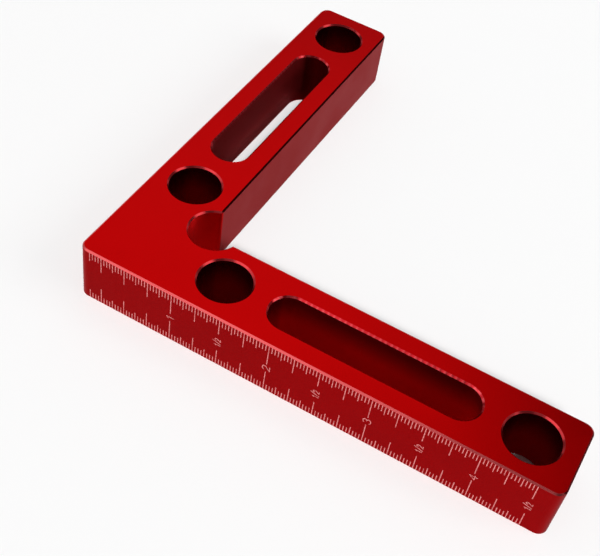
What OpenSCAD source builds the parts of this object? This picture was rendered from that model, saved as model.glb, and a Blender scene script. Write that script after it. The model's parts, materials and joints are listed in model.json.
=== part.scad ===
// Corner clamping square: a flat right-angled L cut from solid aluminium. Boards are pressed to
// its outer or inner faces, and clamps reach through its holes and slots to hold them there. Its
// outer faces carry an inch scale and a metric scale, counted from the outer corner: engraved lines
// that are filled flush with pale enamel.
// Lengths are in millimetres. The square lies on its base, +Z up, with the Z axis through the
// middle of its outline's box. One arm runs along X and the other along Y.

/* [Square] */
// Length of each arm, from the outer corner to the arm's end
arm_length = 120; // [112:1:200]
// Width of each arm
arm_width = 21; // [17:0.5:32]
// Thickness of the square
thickness = 16; // [8:0.5:25]
// Radius of the upright outside corners
corner_radius = 2.5; // [1:0.25:6]
// Leg of the 45 degree break along the edges of the outline
edge_break = 0.4; // [0.1:0.05:1]

/* [Clamp holes] */
// Diameter of the holes
hole_diameter = 13; // [6:0.5:16]
// Distance from the outer corner to the hole near it, along the arm
near_hole_offset = 33; // [31:0.5:40]
// Distance from the arm's end to the hole near it
end_hole_inset = 11; // [9:0.5:16]

/* [Clamp slots] */
// Width of the slots
slot_width = 10; // [4:0.5:14]
// Length of the slots from end to end
slot_length = 52; // [20:1:58]

/* [Inner corner relief] */
// Diameter of the round relief that keeps the inner corner clear
relief_diameter = 12.5; // [8:0.5:15]
// How far the relief's centre lies past the inner corner, along each arm
relief_offset = 1.6; // [0:0.1:3]
// Radius of the upright edges beside the relief
relief_edge_radius = 1; // [0.3:0.1:2]

/* [Rims] */
// Leg of the 45 degree break around each hole and slot
rim_break = 0.4; // [0.1:0.05:1]

/* [Graduations] */
// Width of the engraved lines
line_width = 0.2; // [0.1:0.05:0.35]
// Depth of the engraved lines
line_depth = 0.1; // [0.05:0.05:0.3]
// Length of the short lines, from the edge of the face
short_line = 1.9; // [1:0.1:3]
// Length of the middle lines
middle_line = 2.7; // [1.5:0.1:4]
// Length of the long lines
long_line = 4.7; // [2:0.1:5.5]
// Height of the gap that is left for a number in the lines that cross the whole face
number_gap = 2.6; // [1.5:0.1:4]
// Least distance of the first line from the outer corner
first_line_inset = 3; // [2.5:0.5:10]
// Least distance of the last line from the arm's end
last_line_inset = 5; // [3:0.5:20]

/* [Hidden] */
$fn = 96;
// How far a cutter runs past the face it cuts
overrun = 0.25;
// Centre line of the holes and slots, from the arm's outer face
hole_line = arm_width / 2;
far_hole_offset = arm_length - end_hole_inset;
// The slot lies midway between the two holes of its arm
slot_middle = (near_hole_offset + far_hole_offset) / 2;
// From the slot's middle to the centre of either round end
slot_reach = (slot_length - slot_width) / 2;
relief_centre = arm_width + relief_offset;
// Upright rounded edge that touches the relief and the X arm's inner face
edge_span = relief_diameter / 2 + relief_edge_radius;
edge_drop = relief_offset + relief_edge_radius;
edge_centre = [relief_centre + sqrt(edge_span ^ 2 - edge_drop ^ 2), arm_width - relief_edge_radius];
inch = 25.4;
centimetre = 10;
// Steps of the two scales in one inch and in one centimetre
inch_parts = 32;
centimetre_parts = 10;
inch_step = inch / inch_parts;
metric_step = centimetre / centimetre_parts;
// Each half of a line that crosses the whole face
crossing_line = (thickness - number_gap) / 2 - edge_break;

// First and last steps of a scale that keep clear of the face's ends
function first_step(pitch) = ceil(first_line_inset / pitch);
function last_step(pitch) = floor((arm_length - last_line_inset) / pitch);

// Line at a step of the inch scale: inches cross the face, quarters are long and eighths middle
function inch_line(step) =
    step % inch_parts == 0 ? crossing_line
    : step % (inch_parts / 4) == 0 ? long_line
    : step % (inch_parts / 8) == 0 ? middle_line
    : short_line;

// Line at a step of the metric scale: centimetres cross the face, and half centimetres are long
function metric_line(step) =
    step % centimetre_parts == 0 ? crossing_line
    : step % (centimetre_parts / 2) == 0 ? long_line
    : short_line;

// Moves what is drawn from the outer corner so that the outline's box is centred on the Z axis
module from_outer_corner() {
    translate([-arm_length / 2, -arm_length / 2, 0])
        children();
}

// Draws on the X arm, and once more on the Y arm as its mirror image
module both_arms() {
    children();
    mirror([1, -1, 0])
        children();
}

// Draws on the top face, and once more on the base. The face lies at z = 0, with metal below it
module both_faces() {
    for (flip = [0, 1])
        translate([0, 0, thickness / 2])
            mirror([0, 0, flip])
                translate([0, 0, thickness / 2])
                    children();
}

// Plan of one arm with its upright corners rounded
module arm_plan() {
    translate([corner_radius, 0])
        square([arm_length - 2 * corner_radius, arm_width]);
    translate([0, corner_radius])
        square([arm_length, arm_width - 2 * corner_radius]);
    for (x = [corner_radius, arm_length - corner_radius], y = [corner_radius, arm_width - corner_radius])
        translate([x, y])
            circle(corner_radius);
}

// Plan of the whole square, with the inner corner cut clear
module square_plan() {
    difference() {
        both_arms()
            arm_plan();
        translate([relief_centre, relief_centre])
            circle(d = relief_diameter);
        both_arms()
            relief_edge_cut();
    }
}

// Plan of the sharp edge that the rounding takes off between the relief and the X arm's inner face
module relief_edge_cut() {
    difference() {
        polygon([edge_centre, [edge_centre.x, arm_width + overrun], [relief_centre, relief_centre]]);
        translate(edge_centre)
            circle(relief_edge_radius);
    }
}

// Section that a 45 degree break takes off an edge: the wall lies at x = 0 and the face at y = 0
module break_section(leg) {
    polygon([[-leg - overrun, overrun], [overrun, overrun], [overrun, -leg - overrun]]);
}

// Break along a straight edge that runs along +X, with the open side towards +Y
module straight_break(run) {
    rotate([90, 0, 90])
        linear_extrude(run)
            break_section(edge_break);
}

// Break around an upright rounded corner, over the quarter turn that starts at +X
module corner_break() {
    rotate_extrude(angle = 90)
        translate([corner_radius, 0])
            break_section(edge_break);
}

// Break around the rim of a round hole
module round_break(radius, leg) {
    translate([0, 0, -leg])
        cylinder(h = leg + overrun, r1 = radius, r2 = radius + leg + overrun);
}

// Breaks along the X arm's outer face, its end and its inner face
module arm_breaks() {
    end_centre = arm_length - corner_radius;
    translate([end_centre, 0])
        rotate(180)
            straight_break(arm_length - 2 * corner_radius);
    translate([end_centre, corner_radius])
        rotate(-90)
            corner_break();
    translate([arm_length, arm_width - corner_radius])
        rotate(-90)
            straight_break(arm_width - 2 * corner_radius);
    translate([end_centre, arm_width - corner_radius])
        corner_break();
    translate([arm_width, arm_width])
        straight_break(end_centre - arm_width);
}

// Breaks around the outline of one face
module outline_breaks() {
    both_arms()
        arm_breaks();
    translate([corner_radius, corner_radius])
        rotate(180)
            corner_break();
    translate([relief_centre, relief_centre])
        round_break(relief_diameter / 2, edge_break);
}

// Hole right through the X arm, with both rims broken
module clamp_hole(offset) {
    translate([offset, hole_line, 0]) {
        translate([0, 0, -overrun])
            cylinder(h = thickness + 2 * overrun, d = hole_diameter);
        both_faces()
            round_break(hole_diameter / 2, rim_break);
    }
}

// Round-ended slot right through the X arm, with both rims broken
module clamp_slot() {
    translate([slot_middle, hole_line, 0]) {
        translate([0, 0, -overrun])
            linear_extrude(thickness + 2 * overrun) {
                square([2 * slot_reach, slot_width], center = true);
                for (side = [-1, 1])
                    translate([side * slot_reach, 0])
                        circle(d = slot_width);
            }
        both_faces()
            slot_rim_break();
    }
}

// Break around a slot's rim: a flared trough between two round flares
module slot_rim_break() {
    half = slot_width / 2;
    flared = half + rim_break + overrun;
    translate([-slot_reach, 0, 0])
        rotate([90, 0, 90])
            linear_extrude(2 * slot_reach)
                polygon([[-half, -rim_break], [half, -rim_break], [flared, overrun], [-flared, overrun]]);
    for (side = [-1, 1])
        translate([side * slot_reach, 0, 0])
            round_break(half, rim_break);
}

// Pair of lines that reach in from both edges of the X arm's outer face, standing proud of it
module line_pair(offset, reach, proud) {
    both_faces()
        translate([offset - line_width / 2, -proud, -edge_break - reach])
            cube([line_width, line_depth + proud, reach]);
}

// Lines of the inch scale, on the X arm
module inch_scale(proud) {
    for (step = [first_step(inch_step) : last_step(inch_step)])
        line_pair(step * inch_step, inch_line(step), proud);
}

// Lines of the metric scale, on the Y arm
module metric_scale(proud) {
    mirror([1, -1, 0])
        for (step = [first_step(metric_step) : last_step(metric_step)])
            line_pair(step * metric_step, metric_line(step), proud);
}

// The one-piece square with its holes, slots, inner relief and engraved lines
module square_body() {
    color("firebrick")
        from_outer_corner()
            difference() {
                linear_extrude(thickness)
                    square_plan();
                both_faces()
                    outline_breaks();
                both_arms() {
                    clamp_hole(near_hole_offset);
                    clamp_hole(far_hole_offset);
                    clamp_slot();
                }
                inch_scale(overrun);
                metric_scale(overrun);
            }
}

// Enamel in the lines of the inch scale, flush with the face
module inch_lines() {
    color("lightpink")
        from_outer_corner()
            inch_scale(0);
}

// Enamel in the lines of the metric scale, flush with the face
module metric_lines() {
    color("lightpink")
        from_outer_corner()
            metric_scale(0);
}

square_body();
inch_lines();
metric_lines();
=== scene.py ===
import json
import math

import bpy
import numpy as np
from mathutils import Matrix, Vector


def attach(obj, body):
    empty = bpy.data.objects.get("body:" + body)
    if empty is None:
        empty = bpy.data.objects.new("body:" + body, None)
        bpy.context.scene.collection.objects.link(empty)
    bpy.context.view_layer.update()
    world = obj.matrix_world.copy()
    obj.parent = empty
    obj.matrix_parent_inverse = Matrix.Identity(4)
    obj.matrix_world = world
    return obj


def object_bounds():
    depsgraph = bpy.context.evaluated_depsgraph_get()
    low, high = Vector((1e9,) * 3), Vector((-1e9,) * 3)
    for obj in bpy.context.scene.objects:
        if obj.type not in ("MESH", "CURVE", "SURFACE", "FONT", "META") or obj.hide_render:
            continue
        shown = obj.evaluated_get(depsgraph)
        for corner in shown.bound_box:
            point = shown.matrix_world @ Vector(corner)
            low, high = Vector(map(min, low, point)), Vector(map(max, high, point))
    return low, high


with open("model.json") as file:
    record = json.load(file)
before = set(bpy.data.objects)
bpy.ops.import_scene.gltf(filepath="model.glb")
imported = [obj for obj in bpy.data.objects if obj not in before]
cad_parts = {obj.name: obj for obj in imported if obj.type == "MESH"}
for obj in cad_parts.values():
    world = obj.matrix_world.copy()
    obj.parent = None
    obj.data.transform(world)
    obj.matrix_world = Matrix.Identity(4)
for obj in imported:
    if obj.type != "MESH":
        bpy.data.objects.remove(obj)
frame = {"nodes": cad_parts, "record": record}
cadLow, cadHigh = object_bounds()
record = frame["record"]
mm = 0.001
print("frame loaded:", sorted(frame["nodes"]))


# Node helpers

def feed(tree, socket, value):
    if isinstance(value, bpy.types.NodeSocket):
        tree.links.new(value, socket)
    else:
        socket.default_value = value


def addNode(tree, kind, inputs=None, **settings):
    made = tree.nodes.new(kind)
    for name, value in settings.items():
        setattr(made, name, value)
    for name, value in (inputs or {}).items():
        feed(tree, made.inputs[name], value)
    return made


def sums(tree, operation, *terms):
    made = tree.nodes.new("ShaderNodeMath")
    made.operation = operation
    for socket, term in zip(made.inputs, terms):
        feed(tree, socket, term)
    return made.outputs[0]


def product(tree, *terms):
    total = terms[0]
    for term in terms[1:]:
        total = sums(tree, "MULTIPLY", total, term)
    return total


def ramp(tree, value, low, high, start=0.0, end=1.0):  # eased from start at low to end at high
    made = addNode(tree, "ShaderNodeMapRange", interpolation_type="SMOOTHSTEP")
    for socket, term in zip(made.inputs, (value, low, high, start, end)):
        feed(tree, socket, term)
    return made.outputs[0]


def mixColour(tree, share, first, second):
    made = addNode(tree, "ShaderNodeMix", data_type="RGBA")
    for socket, term in ((0, share), (6, first), (7, second)):  # the node's colour sockets are 6, 7 and 2
        feed(tree, made.inputs[socket], term)
    return made.outputs[2]


def newGroup(name, inputs, outputs):
    tree = bpy.data.node_groups.new(name, "ShaderNodeTree")
    for label, kind, value in inputs:
        socket = tree.interface.new_socket(name=label, in_out="INPUT", socket_type=kind)
        if value is not None:
            socket.default_value = value
    for label, kind in outputs:
        tree.interface.new_socket(name=label, in_out="OUTPUT", socket_type=kind)
    return tree, tree.nodes.new("NodeGroupInput"), tree.nodes.new("NodeGroupOutput")


def placeGroup(tree, group, inputs):
    made = tree.nodes.new("ShaderNodeGroup")
    made.node_tree = group
    for name, value in inputs.items():
        feed(tree, made.inputs[name], value)
    return made.outputs


def noise(tree, vector, scale, detail=2.0, roughness=0.5):
    made = addNode(tree, "ShaderNodeTexNoise",
                   {"Vector": vector, "Scale": scale, "Detail": detail, "Roughness": roughness})
    return made.outputs["Fac"]


satin = {
    "fineDetail": 3.0,
    "cloudDetail": 4.0,
    "cloudSpread": (0.3, 0.7),   # noise levels between which the cloud goes from 0 to 1
}


# Fine grain of a satin surface, with a slow cloud over it
def satinGrain(look):
    tree, given, result = newGroup(
        "satinGrain",
        [("Vector", "NodeSocketVector", None), ("Grain per metre", "NodeSocketFloat", 4000.0),
         ("Clouds per metre", "NodeSocketFloat", 60.0)],
        [("Height", "NodeSocketFloat"), ("Cloud", "NodeSocketFloat")])
    spot = given.outputs["Vector"]
    fine = noise(tree, spot, given.outputs["Grain per metre"], look["fineDetail"])
    slow = noise(tree, spot, given.outputs["Clouds per metre"], look["cloudDetail"])
    feed(tree, result.inputs["Height"], fine)
    feed(tree, result.inputs["Cloud"], ramp(tree, slow, *look["cloudSpread"]))
    return tree


# parts of the normal between which a mask fades; a 45 degree break has 0.71 upright and 0.71 level
tilts = {
    "leaning": (0.45, 0.6),
    "flat": (0.8, 0.95),
    "inner": (0.6, 0.95),
    "back": (0.5, 0.68),
}


# Which way a face looks: 1 on 45 degree breaks, on upright walls, on walls that face the inner angle, and
# on breaks that lean towards it
def faceKinds(look):
    tree, given, result = newGroup(
        "faceKinds",
        [("Normal", "NodeSocketVector", None)],
        [("Break", "NodeSocketFloat"), ("Wall", "NodeSocketFloat"), ("Inner", "NodeSocketFloat"),
         ("Back", "NodeSocketFloat")])
    parts = addNode(tree, "ShaderNodeSeparateXYZ", {"Vector": given.outputs["Normal"]}).outputs
    rise = sums(tree, "ABSOLUTE", parts["Z"])
    leaning = ramp(tree, rise, *look["leaning"])
    flat = ramp(tree, rise, *look["flat"])
    inward = sums(tree, "MAXIMUM", parts["X"], parts["Y"])
    feed(tree, result.inputs["Break"], sums(tree, "SUBTRACT", leaning, flat))
    feed(tree, result.inputs["Wall"], ramp(tree, rise, *look["leaning"], 1.0, 0.0))
    feed(tree, result.inputs["Inner"], ramp(tree, inward, *look["inner"]))
    feed(tree, result.inputs["Back"], ramp(tree, inward, *look["back"]))
    return tree


# Where the cutter went, from the record's mounts and openings
holeSpots = {mount["name"]: mount["pos_m"] for mount in record["mounts"] if mount["kind"] == "bore"}
gapBoxes = {gap["name"]: gap["box_m"] for gap in record["physics"]["openings"]}
slotEnds = [corner[0] for corner in gapBoxes["x_arm_slot"]]
cuts = {
    "armLine": holeSpots["x_arm_near_hole"][1],              # middle of an arm's holes and slot
    "bandHalf": 8.0 * mm,                                    # the cuts lie this close to the arm's line
    "bandEnd": cadHigh.x - 2.5 * mm,                         # and stop short of the arm's end
    "slotMiddle": sum(slotEnds) / 2,
    "slotHalf": (slotEnds[1] - slotEnds[0]) / 2 + 6.0 * mm,  # with the round ends and their rims
    "reliefMiddle": -37.4 * mm,                              # x and y of its centre
    "reliefReach": 6.55 * mm,
    "fade": 0.5 * mm,
    "low": (7.0 * mm, 15.0 * mm),                            # heights between which the painted light and shade in the cuts change
    "foot": (1.0 * mm, 7.0 * mm),
}


# 1 on what a cutter left: the bands of bores and slots along both arms, and the relief between them.
# Low and Foot are 1 at the bottom of the cuts, where the painted light and shade change with height
def cutWalls(look):
    tree, given, result = newGroup(
        "cutWalls",
        [("Vector", "NodeSocketVector", None)],
        [("Bore", "NodeSocketFloat"), ("X slot", "NodeSocketFloat"), ("Y slot", "NodeSocketFloat"),
         ("Relief", "NodeSocketFloat"), ("Low", "NodeSocketFloat"), ("Foot", "NodeSocketFloat")])
    parts = addNode(tree, "ShaderNodeSeparateXYZ", {"Vector": given.outputs["Vector"]}).outputs

    def near(value, middle, reach):
        off = sums(tree, "ABSOLUTE", sums(tree, "SUBTRACT", value, middle))
        return ramp(tree, off, reach, reach + look["fade"], 1.0, 0.0)

    bore = []
    for along, across in (("X", "Y"), ("Y", "X")):
        band = near(parts[across], look["armLine"], look["bandHalf"])
        band = product(tree, band, near(parts[along], 0.0, look["bandEnd"]))
        slotted = near(parts[along], look["slotMiddle"], look["slotHalf"])
        feed(tree, result.inputs[along + " slot"], product(tree, band, slotted))
        bore.append(product(tree, band, sums(tree, "SUBTRACT", 1.0, slotted)))
    beside = [sums(tree, "SUBTRACT", parts[axis], look["reliefMiddle"]) for axis in "XY"]
    apart = sums(tree, "SQRT", sums(tree, "ADD", product(tree, beside[0], beside[0]),
                                    product(tree, beside[1], beside[1])))
    feed(tree, result.inputs["Bore"], sums(tree, "MAXIMUM", *bore))
    feed(tree, result.inputs["Relief"], near(apart, 0.0, look["reliefReach"]))
    feed(tree, result.inputs["Low"], ramp(tree, parts["Z"], *look["low"], 1.0, 0.0))
    feed(tree, result.inputs["Foot"], ramp(tree, parts["Z"], *look["foot"], 1.0, 0.0))
    return tree


# Drawn lines: noise stretched along the bar, close together across the wall
def drawnLines():
    tree, given, result = newGroup(
        "drawnLines",
        [("Vector", "NodeSocketVector", None), ("Lines per metre", "NodeSocketFloat", 5000.0),
         ("Stretch", "NodeSocketFloat", 60.0)],
        [("Height", "NodeSocketFloat")])
    along = sums(tree, "DIVIDE", 1.0, given.outputs["Stretch"])
    squeeze = addNode(tree, "ShaderNodeCombineXYZ", {"X": along, "Y": along, "Z": 1.0})
    stretched = addNode(tree, "ShaderNodeVectorMath",
                        {0: given.outputs["Vector"], 1: squeeze.outputs[0]}, operation="MULTIPLY")
    feed(tree, result.inputs["Height"],
         noise(tree, stretched.outputs[0], given.outputs["Lines per metre"], detail=3.0, roughness=0.6))
    return tree


unevenness = {
    "changesPerMetre": 700.0,
    "shift": 3.0,   # most that the noise moves a ripple, in radians
}


# Ripples that a cutter leaves along an edge: sin(2 pi x / pitch) + sin(2 pi y / pitch), a little uneven
def cutterRipples(look):
    tree, given, result = newGroup(
        "cutterRipples",
        [("Vector", "NodeSocketVector", None), ("Pitch", "NodeSocketFloat", 0.0009)],
        [("Height", "NodeSocketFloat")])
    parts = addNode(tree, "ShaderNodeSeparateXYZ", {"Vector": given.outputs["Vector"]})
    wander = product(tree, noise(tree, given.outputs["Vector"], look["changesPerMetre"]), look["shift"])
    waves = []
    for axis in "XY":
        turns = sums(tree, "DIVIDE", parts.outputs[axis], given.outputs["Pitch"])
        phase = sums(tree, "ADD", product(tree, turns, 2 * math.pi), wander)
        waves.append(sums(tree, "SINE", phase))
    feed(tree, result.inputs["Height"], sums(tree, "ADD", *waves))
    return tree


groups = {"grain": satinGrain(satin), "faces": faceKinds(tilts), "cuts": cutWalls(cuts),
          "lines": drawnLines(), "ripples": cutterRipples(unevenness)}
print("node groups made:", len(groups))


def newMaterial(name):
    made = bpy.data.materials.new(name)
    made.use_nodes = True
    tree = made.node_tree
    tree.nodes.clear()
    shader = tree.nodes.new("ShaderNodeBsdfPrincipled")
    output = tree.nodes.new("ShaderNodeOutputMaterial")
    tree.links.new(shader.outputs["BSDF"], output.inputs["Surface"])
    return made, tree, shader


redAnodise = {
    "faceColour": (0.44, 0.0010, 0.0014, 1),       # milled top and base
    "wallColour": (0.31, 0.0008, 0.0016, 1),       # drawn sides, darker than the milled top: painted shade
    "boreColour": (0.13, 0.0020, 0.0024, 1),       # painted shade high in the bores, painted reflection low in them
    "boreLowReflectionColour": (0.54, 0.0040, 0.0050, 1),
    "xSlotColour": (0.24, 0.0030, 0.0040, 1),      # painted shade high in the X slot, painted light low in it
    "xSlotLowLightColour": (0.88, 0.0030, 0.0036, 1),
    "ySlotColour": (0.86, 0.0550, 0.0640, 1),      # painted light high in the Y slot, painted shade at its foot
    "ySlotFootShadeColour": (0.18, 0.0040, 0.0050, 1),
    "slotEndShadeColour": (0.12, 0.0010, 0.0012, 1),    # painted shade on walls of the Y slot that look away from the inner angle
    # painted light: the relief's wall lighter than the faces
    "reliefLightColour": (0.80, 0.0026, 0.0032, 1),
    "innerShade": 0.67,                            # painted shade on walls that face the inner angle
    "edgeSheenColour": (0.52, 0.0760, 0.0800, 1),       # painted sheen: lighter, pinker colour on the outline's broken edges
    "backShadeColour": (0.075, 0.0020, 0.0030, 1),      # painted shade on those that lean to the inner angle
    "rimSheenColour": (0.50, 0.0360, 0.0420, 1),        # painted sheen on the rims of bores and relief
    "troughColour": (0.43, 0.0160, 0.0220, 1),     # slot rims, between the cutter's ripples and on them; the lighter crests are painted glints
    "crestGlintColour": (0.60, 0.0620, 0.0720, 1),
    "cloudShade": 0.93,                            # darkest the slow cloud makes the colour
    "cloudMean": 0.5,
    "glanceTint": (1.0, 0.61, 0.62, 1),            # colour at a glancing angle
    "faceRoughness": 0.34,
    "wallRoughness": 0.40,
    "slotRoughness": 0.62,
    "edgeRoughness": 0.24,
    "roughnessSwing": 0.08,
    "grainPerMetre": 4200.0,
    "grainDepth": 0.004 * mm,
    "lineDepth": 0.004 * mm,
    "ripplePitch": 1.45 * mm,
    "rippleDepth": 0.006 * mm,
}


# Satin red anodising: saturated metal whose colour, roughness and bump depend on how the face was cut; the
# colour's changes, apart from the slow cloud, are painted light and shade in the cuts, on the sides and on
# the edges
def anodisedRed(look):
    made, tree, shader = newMaterial("anodised_red")
    place = tree.nodes.new("ShaderNodeTexCoord").outputs
    spot = place["Object"]
    grain = placeGroup(tree, groups["grain"], {"Vector": spot, "Grain per metre": look["grainPerMetre"]})
    kinds = placeGroup(tree, groups["faces"], {"Normal": place["Normal"]})
    cutter = placeGroup(tree, groups["cuts"], {"Vector": spot})
    drawing = placeGroup(tree, groups["lines"], {"Vector": spot})
    ripples = placeGroup(tree, groups["ripples"], {"Vector": spot, "Pitch": look["ripplePitch"]})

    slot = sums(tree, "MAXIMUM", cutter["X slot"], cutter["Y slot"])
    cut = sums(tree, "MAXIMUM", cutter["Relief"], sums(tree, "MAXIMUM", slot, cutter["Bore"]))
    back = product(tree, kinds["Break"], kinds["Back"], sums(tree, "SUBTRACT", 1.0, cut))
    # bores: painted shade high, painted reflection low
    bore = mixColour(tree, cutter["Low"], look["boreColour"], look["boreLowReflectionColour"])
    # X slot: painted shade high, painted light low
    xSlot = mixColour(tree, cutter["Low"], look["xSlotColour"], look["xSlotLowLightColour"])
    # Y slot: painted light high, painted shade at the foot
    ySlot = mixColour(tree, cutter["Foot"], look["ySlotColour"], look["ySlotFootShadeColour"])
    # the sides' red is darker than the top's as painted shade
    wall = mixColour(tree, cutter["Bore"], look["wallColour"], bore)
    wall = mixColour(tree, cutter["X slot"], wall, xSlot)
    wall = mixColour(tree, cutter["Y slot"], wall, ySlot)
    # painted shade on the Y slot's walls that look away from the inner angle
    slotEnd = product(tree, cutter["Y slot"], sums(tree, "SUBTRACT", 1.0, kinds["Inner"]))
    wall = mixColour(tree, slotEnd, wall, look["slotEndShadeColour"])
    # painted light on the relief's wall
    wall = mixColour(tree, cutter["Relief"], wall, look["reliefLightColour"])
    colour = mixColour(tree, kinds["Wall"], look["faceColour"], wall)
    # painted sheen on the outline's breaks and on the rims of the cuts
    edge = mixColour(tree, cut, look["edgeSheenColour"], look["rimSheenColour"])
    # painted glints on the ripple crests of the slot rims
    crests = ramp(tree, ripples["Height"], -1.0, 1.0)
    edge = mixColour(tree, slot, edge, mixColour(tree, crests, look["troughColour"], look["crestGlintColour"]))
    colour = mixColour(tree, kinds["Break"], colour, edge)
    # painted shade on the breaks that lean to the inner angle
    colour = mixColour(tree, back, colour, look["backShadeColour"])
    # painted shade on walls that face the inner angle
    innerShadeMask = product(tree, kinds["Wall"], kinds["Inner"], sums(tree, "SUBTRACT", 1.0, cutter["Relief"]))
    shade = product(tree, ramp(tree, grain["Cloud"], 0.0, 1.0, look["cloudShade"], 1.0),
                    ramp(tree, innerShadeMask, 0.0, 1.0, 1.0, look["innerShade"]))
    shaded = addNode(tree, "ShaderNodeVectorMath", {0: colour, "Scale": shade}, operation="SCALE")
    feed(tree, shader.inputs["Base Color"], shaded.outputs[0])

    rough = ramp(tree, kinds["Wall"], 0.0, 1.0, look["faceRoughness"], look["wallRoughness"])
    changes = [
        product(tree, kinds["Wall"], slot, look["slotRoughness"] - look["wallRoughness"]),
        product(tree, kinds["Break"], look["edgeRoughness"] - look["faceRoughness"]),
        product(tree, sums(tree, "SUBTRACT", grain["Cloud"], look["cloudMean"]), look["roughnessSwing"]),
    ]
    for change in changes:
        rough = sums(tree, "ADD", rough, change)
    feed(tree, shader.inputs["Roughness"], rough)

    drawn = product(tree, kinds["Wall"], sums(tree, "SUBTRACT", 1.0, cut))
    grainHeight = product(tree, grain["Height"], look["grainDepth"])
    lineHeight = product(tree, drawing["Height"], drawn, look["lineDepth"])
    rippleHeight = product(tree, ripples["Height"], kinds["Break"], slot, look["rippleDepth"])
    height = sums(tree, "ADD", sums(tree, "ADD", grainHeight, lineHeight), rippleHeight)
    bump = addNode(tree, "ShaderNodeBump", {"Strength": 1.0, "Distance": 1.0, "Height": height})
    feed(tree, shader.inputs["Normal"], bump.outputs["Normal"])
    shader.inputs["Metallic"].default_value = 1.0
    shader.inputs["Specular Tint"].default_value = look["glanceTint"]
    return made


enamelFill = {
    "freshColour": (0.62, 0.19, 0.185, 1),
    "wornColour": (0.46, 0.085, 0.085, 1),   # thin places where the red shows through
    "wornTo": 0.6,                           # cloud level at which the enamel is whole
    "roughness": 0.55,
    "grainPerMetre": 5000.0,
    "patchesPerMetre": 900.0,
    "grainDepth": 0.004 * mm,
}


# Matt light enamel, thin in places
def scaleEnamel(look):
    made, tree, shader = newMaterial("scale_enamel")
    place = tree.nodes.new("ShaderNodeTexCoord").outputs
    grain = placeGroup(tree, groups["grain"], {"Vector": place["Object"],
                                               "Grain per metre": look["grainPerMetre"],
                                               "Clouds per metre": look["patchesPerMetre"]})
    feed(tree, shader.inputs["Base Color"],
         mixColour(tree, ramp(tree, grain["Cloud"], 0.0, look["wornTo"]),
                   look["wornColour"], look["freshColour"]))
    height = product(tree, grain["Height"], look["grainDepth"])
    bump = addNode(tree, "ShaderNodeBump", {"Strength": 1.0, "Distance": 1.0, "Height": height})
    feed(tree, shader.inputs["Normal"], bump.outputs["Normal"])
    shader.inputs["Roughness"].default_value = look["roughness"]
    return made


finishes = {"anodised_red": anodisedRed(redAnodise), "scale_enamel": scaleEnamel(enamelFill)}
nodeFinish = {"square_body": "anodised_red", "inch_lines": "scale_enamel", "metric_lines": "scale_enamel"}
for name, slotName in nodeFinish.items():
    slots = frame["nodes"][name].data.materials
    slots.clear()
    slots.append(finishes[slotName])
print("finishes on the CAD nodes:", nodeFinish)


# Numbers of the two scales

numerals = {
    "whole": {"height": 1.85 * mm, "width": 1.35 * mm, "spacing": 0.45 * mm},   # height from foot to head
    "half": {"height": 1.45 * mm, "width": 0.62 * mm, "spacing": 0.24 * mm},
    "stroke": 0.2 * mm,
    "rise": 0.012 * mm,        # the marks stand this proud of the face
    "sink": 0.05 * mm,
    "strokeStep": 0.001 * mm,  # crossing strokes differ by this, so no two tops coincide
    "topShare": 0.8,           # width of the flat top, and height of its shoulders
    "shoulderShare": 0.4,
    "arcSteps": 14,            # along half a turn
    "endSteps": 4,
    "endShare": 0.995,         # the last ring of an end stops just short of its tip
    "leastStep": 0.001 * mm,   # points of a path that lie closer than this are one
    "leastTurn": 0.55,         # limits how far a sharp bend widens a stroke
}


# Points of an ellipse's arc: (cx + rx cos a, cy + ry sin a), a in degrees
def arc(cx, cy, rx, ry, start, stop):
    steps = max(3, int(numerals["arcSteps"] * abs(stop - start) / 180))
    angle = np.radians(np.linspace(start, stop, steps))
    return np.stack([cx + rx * np.cos(angle), cy + ry * np.sin(angle)], axis=1)


def lines(*points):
    return np.array(points, float)


# Single-stroke digits in a box from (0, 0) at the foot to (1, 1) at the head
def digitStrokes():
    two = np.concatenate([arc(0.5, 0.72, 0.48, 0.28, 170, -35), lines((0.0, 0.0), (1.0, 0.0))])
    three = np.concatenate([arc(0.46, 0.76, 0.46, 0.24, 155, -75), arc(0.48, 0.27, 0.52, 0.27, 75, -155)])
    five = np.concatenate([lines((0.92, 1.0), (0.18, 1.0), (0.08, 0.52)),
                           arc(0.46, 0.32, 0.52, 0.32, 125, -150)])
    six = np.concatenate([arc(0.55, 0.45, 0.55, 0.55, 60, 180), arc(0.5, 0.30, 0.5, 0.30, 180, 540)])
    return {
        "0": [arc(0.5, 0.5, 0.5, 0.5, 90, 450)],
        "1": [lines((0.18, 0.76), (0.55, 1.0), (0.55, 0.0))],
        "2": [two],
        "3": [three],
        "4": [lines((0.72, 0.0), (0.72, 1.0), (0.0, 0.30), (1.0, 0.30))],
        "5": [five],
        "6": [six],
        "7": [lines((0.0, 1.0), (1.0, 1.0), (0.35, 0.0))],
        "8": [arc(0.5, 0.77, 0.42, 0.23, -90, 270), arc(0.5, 0.27, 0.5, 0.27, 90, 450)],
        "9": [1.0 - six],
        "/": [lines((0.0, -0.05), (1.0, 1.35))],
    }


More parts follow.
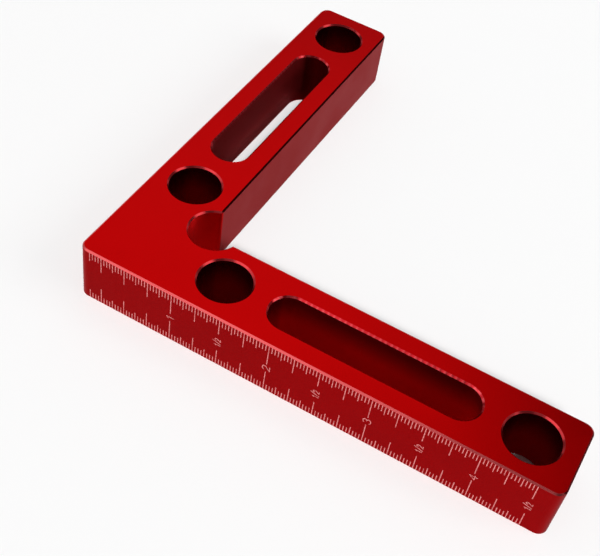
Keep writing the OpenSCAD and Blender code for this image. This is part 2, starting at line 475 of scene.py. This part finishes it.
# One stroke: a flat-topped profile carried along a path, half width r, and sqrt(r r - d d) past its ends
def strokeSolid(path, rise):
    radius = numerals["stroke"] / 2
    step = np.linalg.norm(np.diff(path, axis=0), axis=1)
    path = path[np.concatenate([[True], step > numerals["leastStep"]])]
    out = radius * np.sin(np.linspace(0, math.pi / 2, numerals["endSteps"] + 1))[1:]
    out[-1] *= numerals["endShare"]
    first = (path[0] - path[1]) / np.linalg.norm(path[0] - path[1])
    last = (path[-1] - path[-2]) / np.linalg.norm(path[-1] - path[-2])
    past = np.concatenate([out[::-1], np.zeros(len(path)), out])
    line = np.concatenate([path[0] + out[::-1, None] * first, path, path[-1] + out[:, None] * last])
    half = np.sqrt(radius ** 2 - past ** 2)

    run = np.diff(line, axis=0)
    run /= np.linalg.norm(run, axis=1)[:, None]
    before = np.concatenate([run[:1], run])
    after = np.concatenate([run, run[-1:]])
    side = before + after
    side /= np.linalg.norm(side, axis=1)[:, None]
    # keeps a bent stroke as wide as a straight one
    mitre = 1 / np.maximum(numerals["leastTurn"], np.sum(side * after, axis=1))
    across = np.stack([-side[:, 1], side[:, 0]], axis=1) * (half * mitre)[:, None]

    top, shoulder, foot = numerals["topShare"], numerals["shoulderShare"] * rise, -numerals["sink"]
    spread = np.array([1.0, 1.0, top, -top, -1.0, -1.0])
    lift = np.array([foot, shoulder, rise, rise, shoulder, foot])
    ring = line[:, None, :] + across[:, None, :] * spread[None, :, None]
    points = np.concatenate([ring, np.broadcast_to(lift[None, :, None], ring.shape[:2] + (1,))], axis=2)
    count, sides = points.shape[:2]
    row, col = np.meshgrid(np.arange(count - 1), np.arange(sides), indexing="ij")
    here, onward = row * sides, (row + 1) * sides
    turn = (col + 1) % sides
    walls = np.stack([here + col, here + turn, onward + turn, onward + col], axis=2)
    rim = np.arange(sides)
    caps = np.stack([rim[::-1], (count - 1) * sides + rim])
    return points.reshape(-1, 3), walls.reshape(-1, 4), caps


# A number, centred on (0, 0): reading along x, heads towards +y, standing proud along z
def numberSolids(text, strokes):
    size = numerals["half" if "/" in text else "whole"]
    pitch = size["width"] + size["spacing"]
    start = -(pitch * len(text) - size["spacing"]) / 2
    solids = []
    for place, sign in enumerate(text):
        for path in strokes[sign]:
            local = path * (size["width"], size["height"]) + (start + place * pitch, -size["height"] / 2)
            solids.append(strokeSolid(local, numerals["rise"] + len(solids) * numerals["strokeStep"]))
    return solids


# Joins the numbers of one scale: each point is centre + x reading + y heads + z outward
def buildNumbers(name, labels, reading, heads):
    axes = np.array([reading, heads, np.cross(reading, heads)], float)
    strokes = digitStrokes()
    points, faces, used = [], [], 0
    for text, centre in labels:
        for local, walls, caps in numberSolids(text, strokes):
            points.append(np.array(centre) + local @ axes)
            faces += (walls + used).tolist() + (caps + used).tolist()
            used += len(local)
    mesh = bpy.data.meshes.new(name)
    mesh.from_pydata(np.concatenate(points).tolist(), [], faces)
    mesh.validate()
    mesh.materials.append(finishes["scale_enamel"])
    piece = bpy.data.objects.new(name, mesh)
    bpy.context.scene.collection.objects.link(piece)
    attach(piece, "root")
    print(name, "labels:", len(labels), "faces:", len(mesh.polygons))


scales = {
    "inch": 25.4 * mm,
    "lastInch": 4.5,       # where the inch lines end
    "centimetre": 10 * mm,
    "lastCentimetre": 11,
}
midHeight = (cadLow.z + cadHigh.z) / 2
inchLabels = []
for half in range(2, int(2 * scales["lastInch"]) + 1):
    text = "1/2" if half % 2 else str(half // 2)
    inchLabels.append((text, (cadLow.x + half / 2 * scales["inch"], cadLow.y, midHeight)))
metricLabels = [(str(step), (cadLow.x, cadLow.y + step * scales["centimetre"], midHeight))
                for step in range(1, scales["lastCentimetre"] + 1)]
# heads of both scales point to the outer corner, where they start
buildNumbers("inch_numbers", inchLabels, reading=(0, 0, 1), heads=(-1, 0, 0))
buildNumbers("metric_numbers", metricLabels, reading=(0, 0, -1), heads=(0, -1, 0))


# Floor and light

studio = {
    "floorColour": (0.90, 0.90, 0.90, 1),
    "floorReach": 1.1,
    "floorRings": 24,
    "floorSides": 64,
    "wallLevel": 0.95,       # pale studio wall, seen around the horizon
    "skyLevel": 0.18,        # dim room above it
    "wallTop": (0.04, 0.22)  # sine of the height at which the wall starts and ends to fade
}
# aim is the direction from the object to the lamp; level is its brightness beside a white of 1
lamps = {
    "key": {"aim": (0.327, -0.604, 0.727), "distance": 60.0, "size": (9.0, 9.0), "level": 157.0,
            "inGloss": False, "onFloor": True},
    "leftBox": {"aim": (-0.41, -0.75, 0.53), "distance": 0.8, "size": (0.58, 0.4), "level": 1.8,
                "inGloss": True, "onFloor": False},
    "sideBox": {"aim": (-0.85, -0.30, 0.42), "distance": 1.0, "size": (0.7, 0.4), "level": 1.1,
                "inGloss": True, "onFloor": False},
    "frontFill": {"aim": (0.19, -0.74, 0.64), "distance": 1.0, "size": (0.55, 0.35), "level": 0.3,
                  "inGloss": True, "onFloor": False},
    "rightBox": {"aim": (0.79, 0.10, 0.58), "distance": 2.4, "size": (1.3, 1.1), "level": 1.8,
                 "inGloss": True, "onFloor": True},
    "topPanel": {"aim": (-0.37, 0.42, 0.83), "distance": 0.9, "size": (0.79, 0.78), "level": 1.15,
                 "inGloss": True, "onFloor": False},
}


# Round floor: rings at reach t^3, so they are close together under the object
def buildFloor(look):
    radius = look["floorReach"] * np.linspace(0, 1, look["floorRings"] + 1)[1:] ** 3
    angle = np.arange(look["floorSides"]) * 2 * math.pi / look["floorSides"]
    rings = np.stack([radius[:, None] * np.cos(angle), radius[:, None] * np.sin(angle),
                      np.zeros((len(radius), len(angle)))], axis=2).reshape(-1, 3)
    points = np.concatenate([[[0.0, 0.0, 0.0]], rings])
    row, col = np.meshgrid(np.arange(len(radius) - 1), np.arange(len(angle)), indexing="ij")
    sides = len(angle)
    turn = (col + 1) % sides
    here, onward = 1 + row * sides, 1 + (row + 1) * sides
    quads = np.stack([here + col, onward + col, onward + turn, here + turn], axis=2)
    hub = [[0, 1 + spoke, 1 + (spoke + 1) % sides] for spoke in range(sides)]
    mesh = bpy.data.meshes.new("floor")
    mesh.from_pydata(points.tolist(), [], quads.reshape(-1, 4).tolist() + hub)
    made, tree, shader = newMaterial("floor_white")
    shader.inputs["Base Color"].default_value = look["floorColour"]
    shader.inputs["Roughness"].default_value = 1.0
    shader.inputs["Specular IOR Level"].default_value = 0.0
    mesh.materials.append(made)
    floor = bpy.data.objects.new("floor", mesh)
    bpy.context.scene.collection.objects.link(floor)


# Pale wall around the horizon, fading to a dimmer room above
def buildWorld(look):
    world = bpy.data.worlds.new("studio")
    world.use_nodes = True
    tree = world.node_tree
    ray = tree.nodes.new("ShaderNodeTexCoord").outputs["Generated"]
    height = addNode(tree, "ShaderNodeSeparateXYZ", {"Vector": ray}).outputs["Z"]
    feed(tree, tree.nodes["Background"].inputs["Strength"],
         ramp(tree, height, *look["wallTop"], look["wallLevel"], look["skyLevel"]))
    tree.nodes["Background"].inputs["Color"].default_value = (1, 1, 1, 1)
    bpy.context.scene.world = world


# Lamp of radiance level: power = level pi width height
def buildLamp(name, look, target):
    light = bpy.data.lights.new(name, "AREA")
    light.shape = "RECTANGLE"
    light.size, light.size_y = look["size"]
    light.energy = look["level"] * math.pi * light.size * light.size_y
    lamp = bpy.data.objects.new(name, light)
    aim = Vector(look["aim"]).normalized()
    lamp.location = target + aim * look["distance"]
    lamp.rotation_euler = aim.to_track_quat("Z", "Y").to_euler()
    lamp.visible_camera = False
    lamp.visible_glossy = look["inGloss"]
    lamp.visible_diffuse = look["onFloor"]
    bpy.context.scene.collection.objects.link(lamp)


middle = Vector((0.0, 0.0, midHeight))
buildFloor(studio)
buildWorld(studio)
for name, look in lamps.items():
    buildLamp(name, look, middle)
print("studio lamps:", sorted(lamps))


camera = {
    "place": (0.05026, -0.20153, 0.20495),
    "turn": (42.276, -7.115, 29.131),   # degrees about x, y and z
    "lens": 67.255,
    "sensorWidth": 36.0,
    "nearest": 0.005,
}
view = bpy.data.cameras.new("camera")
view.lens = camera["lens"]
view.sensor_fit = "HORIZONTAL"
view.sensor_width = camera["sensorWidth"]
view.clip_start = camera["nearest"]
eye = bpy.data.objects.new("camera", view)
eye.location = camera["place"]
eye.rotation_euler = [math.radians(turn) for turn in camera["turn"]]
bpy.context.scene.collection.objects.link(eye)
bpy.context.scene.camera = eye
bpy.context.scene.view_settings.view_transform = "Standard"
print("camera set")
